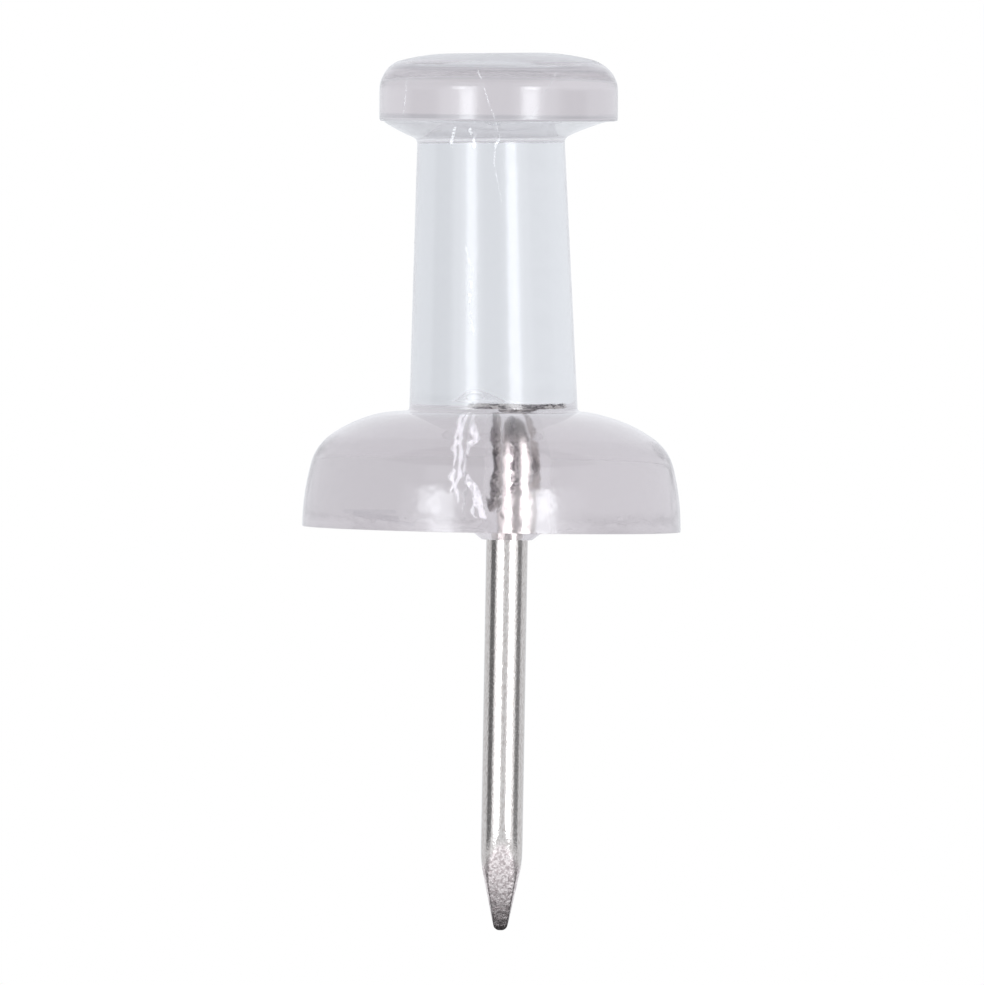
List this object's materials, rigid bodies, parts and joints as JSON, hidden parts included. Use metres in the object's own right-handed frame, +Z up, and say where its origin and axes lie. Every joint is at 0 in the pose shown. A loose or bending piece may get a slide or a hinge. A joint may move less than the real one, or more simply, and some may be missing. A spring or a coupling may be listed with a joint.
{
  "type": "push pin",
  "caption": "Clear plastic push pin: spool-shaped head with a domed base, tapered barrel and dished cap, moulded around a plated steel needle with a ground point.",
  "frame": {"origin": "centre of the head's flat underside, in the plane that seats on the board", "axes": "+Z up the head's axis to the cap, the needle points along -Z, and +X points to the right in the picture, the way the needle stands off the head's axis"},
  "size_m": [0.01, 0.01, 0.0232],
  "materials": {
    "clear_plastic": "clear colourless moulded polystyrene, glossy, lightly scuffed",
    "plated_steel": "bright nickel plate over drawn wire, finely pitted, with a ground point"
  },
  "bodies": {
    "root": {"head": "clear_plastic", "needle": "plated_steel"}
  },
  "joints": []
}
